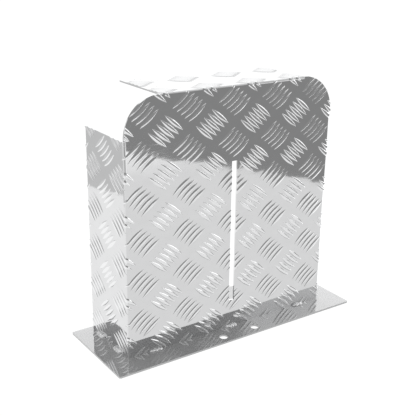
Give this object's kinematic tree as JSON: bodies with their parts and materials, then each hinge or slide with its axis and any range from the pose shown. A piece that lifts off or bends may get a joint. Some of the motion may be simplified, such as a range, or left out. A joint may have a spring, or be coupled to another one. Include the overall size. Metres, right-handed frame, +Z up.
{
  "type": "kick plate guard",
  "caption": "Open-backed box guard folded from bright tread plate, with a slotted front panel and rounded corners, stitch-welded to a polished base plate with screw holes.",
  "frame": {"origin": "centre of the base plate's underside, on the surface that it stands on", "axes": "+Z up, +Y from the front panel towards the open back, +X along the panel's width, to the right as seen from the front"},
  "size_m": [0.3, 0.106, 0.2653],
  "materials": {
    "base_plate": "bright polished sheet, almost a mirror, with faint rolling lines",
    "tread_sheet": "bright-rolled five-bar tread plate, glossy and slightly wavy between the raised bars",
    "weld_metal": "rippled weld bead, satin"
  },
  "bodies": {
    "root": {"base_plate": "base_plate", "guard_sheet": "tread_sheet", "weld_front_left": "weld_metal", "weld_front_centre": "weld_metal", "weld_front_right": "weld_metal", "weld_left_front": "weld_metal", "weld_left_rear": "weld_metal", "weld_right_front": "weld_metal", "weld_right_rear": "weld_metal"}
  },
  "joints": []
}
